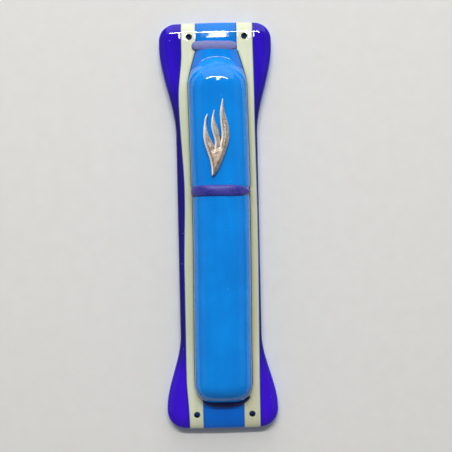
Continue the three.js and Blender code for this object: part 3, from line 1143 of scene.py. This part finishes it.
def cream_glass():
    """Cream, duller with painted shade at the waist and darker and warmer with a painted reflection down the
    right, with seam lines and a dark painted shadow line at the hood.
    """
    look, tree, shader = new_material("cream_glass", IOR=GLASS_IOR)
    colour = streaked(tree, rgb(222, 227, 194), rgb(233, 236, 209), rgb(206, 212, 170))
    height = tree.along("Z")
    # Painted shade: the cream is dulled and greyed across the waist.
    waist = tree.fade(tree.maths("ABSOLUTE", height), 0.070, 0.040, 0.0, 0.5)
    colour = tree.blend(waist, colour, rgb(190, 198, 151))
    # Painted reflection: the right cream strip is darkened and warmed as a reflection of the dark
    # surroundings.
    warm = tree.times(tree.fade(tree.along("X"), 0.0, 0.012), tree.fade(height, 0.060, -0.010, 0.0, 0.5))
    colour = tree.blend(warm, colour, rgb(205, 197, 160))
    seam = use_group(tree, SEAM, Distance=tree.attribute("seam"), Halo_width=1.5, Line_width=0.4)
    colour = tree.blend(tree.times(seam["Halo"], 0.55), colour, rgb(206, 220, 224))
    colour = tree.blend(tree.times(seam["Line"], 0.85), colour, rgb(92, 106, 120))
    gap = tree.attribute("hood_shadow_distance")
    # Painted shadow: a soft shade on the cream beside the hood, and a dark shadow line along its foot.
    colour = tree.blend(tree.fade(gap, 1.6, 0.0, 0.0, 0.35), colour, rgb(120, 132, 110))
    colour = tree.blend(tree.fade(gap, 0.4, 0.12, 0.0, 0.9), colour, rgb(14, 26, 60))
    glass_finish(tree, shader, colour, waves=0.8, pinholes=0.7)
    return look


def blue_glass():
    """Sky blue with dark seam lines, deepened by painted shade towards the plate's lower end, below the hood.
    """
    look, tree, shader = new_material("blue_glass", IOR=GLASS_IOR)
    colour = streaked(tree, rgb(0, 120, 216), rgb(4, 136, 230), rgb(0, 108, 206))
    seam = use_group(tree, SEAM, Distance=tree.attribute("seam"), Halo_width=0.8, Line_width=0.45)
    colour = tree.blend(tree.times(seam["Line"], 0.8), colour, rgb(8, 48, 110))
    height = tree.along("Z")
    # Painted shade: the lower end, below the hood's blunt end, is deepened as if in its shadow.
    colour = tree.blend(tree.fade(height, 0.0, -0.070, 0.0, 0.5), colour, rgb(0, 96, 226))
    glass_finish(tree, shader, colour, waves=0.8)
    return look


def hood_glass():
    """Sky blue, with painted shade along its foot and along the crease under its crown, and a greyer painted
    reflection on the slopes beside the crown.
    """
    look, tree, shader = new_material("hood_glass", IOR=GLASS_IOR)
    colour = streaked(tree, rgb(0, 131, 224), rgb(0, 143, 238), rgb(0, 116, 215), 0.25)
    height = tree.along("Z")
    wall = tree.fade(height, 0.070, 0.062)
    # Painted shade: the hood's low side walls are darkened towards the plate.
    low = tree.times(tree.fade(tree.attribute("foot"), 4.5, 0.2, 0.0, 0.85), wall)
    colour = tree.blend(low, colour, rgb(0, 62, 160))
    side = tree.fade(tree.attribute("aside"), 0.55, 0.85)
    # Painted reflection: the slopes beside the crown are coloured greyer, as a sheen.
    slope_sheen = tree.times(tree.times(side, tree.fade(height, 0.066, 0.069)), 0.55)
    colour = tree.blend(slope_sheen, colour, rgb(72, 116, 206))
    # Painted shade: the crease where the crown meets the skirt is darkened.
    crown = tree.fade(tree.attribute("crown"), 0.5, 0.15, 0.0, 0.6)
    colour = tree.blend(crown, colour, rgb(6, 72, 170))
    # Painted shade: a dark line along the hood's foot, where it meets the plate.
    line = tree.fade(tree.attribute("foot"), 0.5, 0.1, 0.0, 0.85)
    colour = tree.blend(line, colour, rgb(6, 26, 76))
    glass_finish(tree, shader, colour, pinholes=0.8)
    return look


def band_glass():
    """Cobalt with a fine metallic sparkle; the top band has a frost and is paler with a painted reflection,
    and painted shade darkens the bottom one.
    """
    look, tree, shader = new_material("band_glass", IOR=1.45)
    flecks = use_group(tree, FLECKS, Scale=2300.0, Share=0.5)
    mottled = tree.noise(300, 4.0, tree.stretched(0.5, 1, 1))
    colour = tree.blend(tree.fade(mottled, 0.35, 0.65), rgb(46, 42, 142), rgb(64, 62, 164))
    height = tree.along("Z")
    # Painted reflection: the top band is coloured a paler grey-lavender; the same mask also makes it rougher,
    # as frost.
    frost_and_sheen = tree.fade(height, 0.060, 0.074, 0.0, 0.78)
    colour = tree.blend(frost_and_sheen, colour, rgb(128, 132, 188))
    colour = tree.blend(tree.times(flecks["Fine"], 0.45), colour, rgb(150, 152, 212))
    colour = tree.blend(tree.times(flecks["Coarse"], 0.4), colour, rgb(38, 34, 112))
    # Painted shade: the bottom band, at the foot of the hood's blunt end, is darkened.
    bottom_band_shade = tree.fade(height, -0.070, -0.075, 0.0, 0.8)
    colour = tree.blend(bottom_band_shade, colour, rgb(30, 34, 92))
    tree.put(shader, "Base Color", colour)
    tree.put(shader, "Metallic", tree.times(flecks["Fine"], 0.35))
    matt = tree.times(frost_and_sheen, 0.22)
    tree.put(shader, "Roughness", tree.maths("ADD", tree.fade(mottled, 0.3, 0.7, 0.34, 0.5), matt))
    rough = tree.bump(mottled, 0.00012, 1.0)
    tree.put(shader, "Normal", tree.bump(flecks["Fine"], 0.00006, 1.0, rough))
    return look


def pewter():
    """Antique-silver pewter: flecked, warmer at its foot, with painted highlights on the smoother rims of its
    upper left sides.
    """
    look, tree, shader = new_material("pewter")
    flecks = use_group(tree, FLECKS, Scale=1700.0, Share=0.56)
    grain = tree.noise(1500, 4.0)
    height = tree.along("Z")
    warm = tree.fade(height, 0.040, 0.024)
    stained = tree.fade(tree.noise(260, 4.0), 0.35, 0.68, 0.0, 0.45)
    tarnish = tree.maths("ADD", stained, tree.times(warm, 0.5))
    colour = tree.blend(tarnish, rgb(222, 214, 200), rgb(196, 160, 132))
    lit = tree.fade(tree.attribute("lit"), 0.0, 0.5)
    # Painted highlight: the rims facing the upper left are coloured white and made non-metallic, with fewer
    # flecks; they are also a little smoother.
    polish_and_highlight = tree.times(tree.fade(tree.attribute("rim"), 0.95, 0.55), lit)
    flecks_outside_highlight = tree.maths("SUBTRACT", 1.0, tree.times(polish_and_highlight, 0.7))
    colour = tree.blend(tree.times(flecks["Fine"], flecks_outside_highlight), colour, rgb(112, 80, 58))
    colour = tree.blend(tree.times(flecks["Coarse"], 0.6), colour, rgb(92, 66, 50))
    colour = tree.blend(polish_and_highlight, colour, rgb(255, 254, 250))
    # Painted shade: the thin web at the root of the gap between the middle and right tongues is coloured near
    # black.
    web = tree.fade(tree.attribute("rim"), 0.02, -0.08)
    colour = tree.blend(web, colour, rgb(44, 42, 38))
    tree.put(shader, "Base Color", colour)
    tree.put(shader, "Metallic", tree.maths("SUBTRACT", 0.8, tree.times(polish_and_highlight, 0.8)))
    matt = tree.fade(grain, 0.3, 0.7, 0.36, 0.52)
    tree.put(shader, "Roughness", tree.maths("SUBTRACT", matt, tree.times(polish_and_highlight, 0.14)))
    pits = tree.bump(tree.maths("SUBTRACT", 1.0, flecks["Fine"]), 0.00012, 1.0)
    tree.put(shader, "Normal", tree.bump(grain, 0.00008, 1.0, pits))
    return look


def glue_film():
    """Slightly cloudy cured glue."""
    look, tree, shader = new_material("cured_glue", IOR=1.47, Coat_Weight=0.2)
    cloud = tree.noise(500, 3.0)
    tree.put(shader, "Base Color", tree.blend(cloud, rgb(196, 198, 192), rgb(224, 222, 210)))
    tree.put(shader, "Roughness", tree.fade(cloud, 0.3, 0.7, 0.2, 0.4))
    tree.put(shader, "Normal", tree.bump(cloud, 0.00008))
    return look


def satin_acrylic():
    """White acrylic with a satin face and fine lengthwise scratches."""
    look, tree, shader = new_material("satin_acrylic", IOR=1.49)
    cloud = tree.noise(36, 4.0)
    scratches = tree.noise(900, 3.0, tree.stretched(1, 1, 0.03), 0.2)
    colour = tree.blend(cloud, rgb(226, 226, 220), rgb(240, 240, 236))
    scuffed = tree.fade(scratches, 0.62, 0.72, 0.0, 0.3)
    tree.put(shader, "Base Color", tree.blend(scuffed, colour, rgb(198, 198, 194)))
    tree.put(shader, "Roughness", tree.maths("ADD", tree.fade(cloud, 0.3, 0.7, 0.3, 0.42), scuffed))
    tree.put(shader, "Normal", tree.bump(scratches, 0.00003))
    return look


def foam_tape():
    """Pale foam with small pores."""
    look, tree, shader = new_material("foam_tape", Roughness=0.85)
    pores = tree.cells(2600)
    colour = tree.blend(tree.fade(pores, 0.1, 0.5), rgb(176, 168, 138), rgb(222, 214, 186))
    tree.put(shader, "Base Color", colour)
    tree.put(shader, "Normal", tree.bump(pores, 0.0001))
    return look


def parchment_skin():
    """Cloudy tan parchment with fibres and pores."""
    look, tree, shader = new_material("parchment_skin", Specular_IOR_Level=0.3)
    cloud = tree.noise(70, 5.0, distortion=0.8)
    fibres = tree.noise(1100, 4.0, tree.stretched(1, 1, 0.18), 0.8)
    pores = tree.cells(1500)
    colour = tree.blend(tree.fade(cloud, 0.3, 0.7), rgb(214, 190, 146), rgb(232, 214, 176))
    colour = tree.blend(tree.fade(fibres, 0.5, 0.75, 0.0, 0.4), colour, rgb(190, 160, 112))
    colour = tree.blend(tree.fade(pores, 0.12, 0.04, 0.0, 0.5), colour, rgb(150, 118, 78))
    tree.put(shader, "Base Color", colour)
    tree.put(shader, "Roughness", tree.fade(fibres, 0.3, 0.7, 0.62, 0.82))
    tree.put(shader, "Normal", tree.bump(fibres, 0.00009))
    return look


def clear_film():
    """Thin, slightly crinkled film that is mostly seen through."""
    look, tree, shader = new_material("clear_film", IOR=1.5)
    crinkle = tree.noise(140, 3.0, tree.stretched(1, 1, 0.35), 0.5)
    tree.put(shader, "Base Color", tree.blend(crinkle, rgb(222, 230, 234), rgb(240, 244, 246)))
    tree.put(shader, "Roughness", tree.fade(crinkle, 0.3, 0.7, 0.06, 0.16))
    tree.put(shader, "Alpha", tree.fade(crinkle, 0.3, 0.7, 0.16, 0.26))
    tree.put(shader, "Normal", tree.bump(crinkle, 0.0002))
    return look


# ---- Each piece gets its finish, its body and the CAD nodes it stands for ----

def finish(piece, look, body, slot, *nodes):
    """Gives a piece its look and its body, in place of CAD nodes. The slot argument is not used."""
    piece.data.materials.clear()
    piece.data.materials.append(look)
    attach(piece, body)
    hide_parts(*nodes)


strip_looks = {"cobalt": cobalt_glass(), "cream": cream_glass(), "blue": blue_glass()}
for node, piece in front_strips.items():
    colour = node.split("_")[1]
    finish(piece, strip_looks[colour], "case", f"{colour}_glass", node)
for node, piece in base_sheets.items():
    finish(piece, strip_looks["blue"], "case", "blue_glass", node)
hood = hood_glass()
for node, piece in (("upper_hood", upper_hood), ("lower_hood", lower_hood)):
    finish(piece, hood, "case", "blue_glass", node)
band = band_glass()
for node, piece in (("top_band", top_band), ("middle_band", middle_band), ("bottom_band", bottom_band)):
    finish(piece, band, "case", "band_glass", node)
finish(flame_casting, pewter(), "case", "pewter", "flame_ornament")
finish(glue_pad, glue_film(), "case", "glue", "flame_glue_bed")
finish(cover_plate, satin_acrylic(), "back_cover", "acrylic", "back_cover")
foam = foam_tape()
for node, piece in tapes.items():
    finish(piece, foam, "back_cover", "tape", node)
finish(parchment_roll, parchment_skin(), "scroll", "parchment", "parchment_scroll")
finish(film_sleeve, clear_film(), "scroll", "film", "scroll_sleeve")


# ---- The backdrop, the light and the camera ----

def backdrop():
    """A pale wall just behind the case, which can't be seen from behind and casts no shadow."""
    bpy.ops.object.select_all(action="DESELECT")
    bpy.ops.mesh.primitive_plane_add(size=6, location=(0, 0.0004, 0), rotation=(math.pi / 2, 0, 0))
    wall = added("backdrop")
    look, tree, shader = new_material("pale_wall", Roughness=0.9, Specular_IOR_Level=0.2)
    paper = tree.noise(160, 4.0)
    tree.put(shader, "Base Color", tree.blend(paper, rgb(222, 220, 216), rgb(228, 227, 223)))
    clear = tree.node("ShaderNodeBsdfTransparent")
    from_behind = tree.node("ShaderNodeNewGeometry").outputs["Backfacing"]
    to_a_light = tree.node("ShaderNodeLightPath").outputs["Is Shadow Ray"]
    open_way = tree.maths("MAXIMUM", from_behind, to_a_light)
    either = tree.node("ShaderNodeMixShader")
    tree.put(either, "Fac", open_way)
    links = look.node_tree.links
    links.new(shader.outputs[0], either.inputs[1])
    links.new(clear.outputs[0], either.inputs[2])
    links.new(either.outputs[0], look.node_tree.nodes["Material Output"].inputs["Surface"])
    wall.data.materials.append(look)


def softbox(name, location, size, watts):
    """A rectangular area light that faces the case."""
    lamp = bpy.data.lights.new(name, "AREA")
    lamp.shape = "RECTANGLE"
    lamp.size, lamp.size_y = size
    lamp.energy = watts
    holder = bpy.data.objects.new(name, lamp)
    bpy.context.scene.collection.objects.link(holder)
    holder.location = location
    holder.rotation_euler = (-Vector(location)).to_track_quat("-Z", "Y").to_euler()


backdrop()
softbox("key_tube", (-0.03, -1.15, 0.82), (0.92, 0.022), 12.2)
softbox("window_patch", (-0.003, -1.2, 0.63), (0.045, 0.26), 1.3)
# Five panels in one place, each smaller than the one before, make one light with soft edges.
for step in range(5):
    width = mix(2.6, 0.5, step / 4)
    depth = mix(1.9, 0.3, step / 4)
    softbox(f"overhead_{step}", (0.1, -0.8, 1.75), (width, depth), 3.4 * width * depth + 0.4)
softbox("left_glow", (-1.3, -1.0, 0.3), (1.0, 1.8), 0.7)
softbox("right_glow", (1.3, -1.0, 0.3), (1.0, 1.8), 0.7)
softbox("rear_fill", (0.5, 1.3, 0.7), (1.2, 0.8), 12)

world = bpy.data.worlds.new("pale_room")
bpy.context.scene.world = world
world.use_nodes = True
world.node_tree.nodes["Background"].inputs["Color"].default_value = (0.86, 0.88, 0.92, 1)
world.node_tree.nodes["Background"].inputs["Strength"].default_value = 0.18

# The view is VIEW_WIDTH wide at the plate's front.
CAMERA_DISTANCE = 0.340
VIEW_WIDTH = 0.1968
CAMERA_ROLL = math.radians(1.27)
lens = bpy.data.cameras.new("camera")
lens.sensor_width = 36
lens.lens = lens.sensor_width * CAMERA_DISTANCE / VIEW_WIDTH
camera = bpy.data.objects.new("camera", lens)
bpy.context.scene.collection.objects.link(camera)
camera.location = (0.0029, FRONT * MM - CAMERA_DISTANCE, -0.0003)
camera.rotation_euler = (math.pi / 2, CAMERA_ROLL, 0)
bpy.context.scene.camera = camera
bpy.context.scene.view_settings.view_transform = "Standard"
